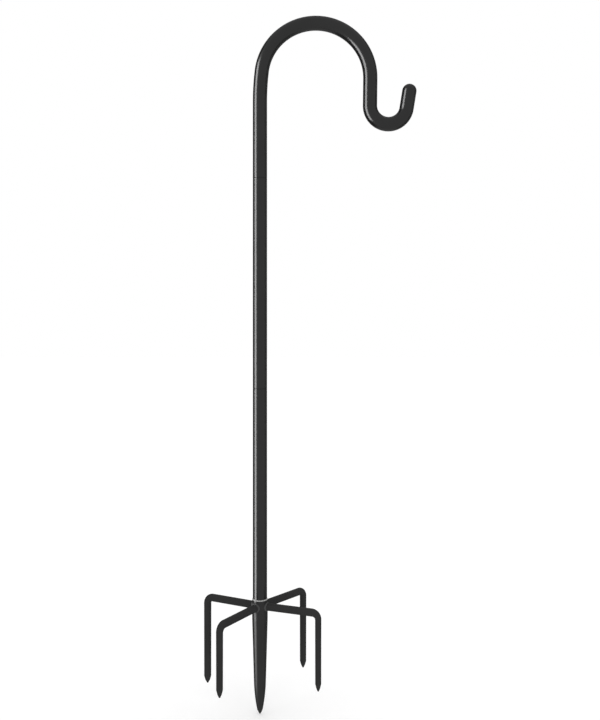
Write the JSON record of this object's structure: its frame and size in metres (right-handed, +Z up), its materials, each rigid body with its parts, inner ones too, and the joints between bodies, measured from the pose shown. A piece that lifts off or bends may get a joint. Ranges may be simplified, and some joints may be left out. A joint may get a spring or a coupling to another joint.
{
  "type": "shepherds hook",
  "caption": "Garden crook hook of bent tube on a straight screw-together pole with a pronged push-in ground base, for hanging a light object.",
  "frame": {"origin": "on the pole's axis at ground level, level with the undersides of the prong arms", "axes": "+Z up along the pole; +X towards the side the hook reaches out to; +Y away from the viewer"},
  "size_m": [0.2412, 0.1143, 0.781],
  "materials": {
    "powder_coat": "black semi-gloss powder coat on steel",
    "coated_cap": "black semi-gloss coat on the domed end",
    "plated_steel": "bright zinc-plated steel, hidden inside the pole"
  },
  "bodies": {
    "base": {"spike": "powder_coat", "prong_front_right": "powder_coat", "prong_back_right": "powder_coat", "prong_back_left": "powder_coat", "prong_front_left": "powder_coat", "prong_welds": "powder_coat"},
    "base_stud": {"base_stud": "plated_steel"},
    "lower_pole": {"lower_pole_tube": "powder_coat", "lower_pole_top_insert": "plated_steel", "lower_pole_bottom_insert": "plated_steel"},
    "middle_stud": {"middle_stud": "plated_steel"},
    "upper_pole": {"upper_pole_tube": "powder_coat", "upper_pole_top_insert": "plated_steel", "upper_pole_bottom_insert": "plated_steel"},
    "top_stud": {"top_stud": "plated_steel"},
    "hook": {"hook_tube": "powder_coat", "tip_cap": "coated_cap", "hook_insert": "plated_steel"}
  },
  "joints": [
    {"name": "lower_joint_rise", "type": "slide", "parent": "base", "child": "base_stud", "axis": [0, 0, 1], "range_m": [0, 0.01275]},
    {"name": "lower_pole_turn", "type": "hinge", "parent": "base_stud", "child": "lower_pole", "pos_m": [0, 0, 0.0128], "axis": [0, 0, 1], "range_deg": [0, 3060]},
    {"name": "middle_joint_rise", "type": "slide", "parent": "lower_pole", "child": "middle_stud", "axis": [0, 0, 1], "range_m": [0, 0.01275]},
    {"name": "upper_pole_turn", "type": "hinge", "parent": "middle_stud", "child": "upper_pole", "pos_m": [0, 0, 0.2478], "axis": [0, 0, 1], "range_deg": [0, 3060]},
    {"name": "top_joint_rise", "type": "slide", "parent": "upper_pole", "child": "top_stud", "axis": [0, 0, 1], "range_m": [0, 0.01275]},
    {"name": "hook_turn", "type": "hinge", "parent": "top_stud", "child": "hook", "pos_m": [0, 0, 0.4828], "axis": [0, 0, 1], "range_deg": [0, 3060]}
  ],
  "couplings": [
    {"joint": "lower_pole_turn", "follows": "lower_joint_rise", "rad_per_m": 4188.8},
    {"joint": "upper_pole_turn", "follows": "middle_joint_rise", "rad_per_m": 4188.8},
    {"joint": "hook_turn", "follows": "top_joint_rise", "rad_per_m": 4188.8}
  ]
}
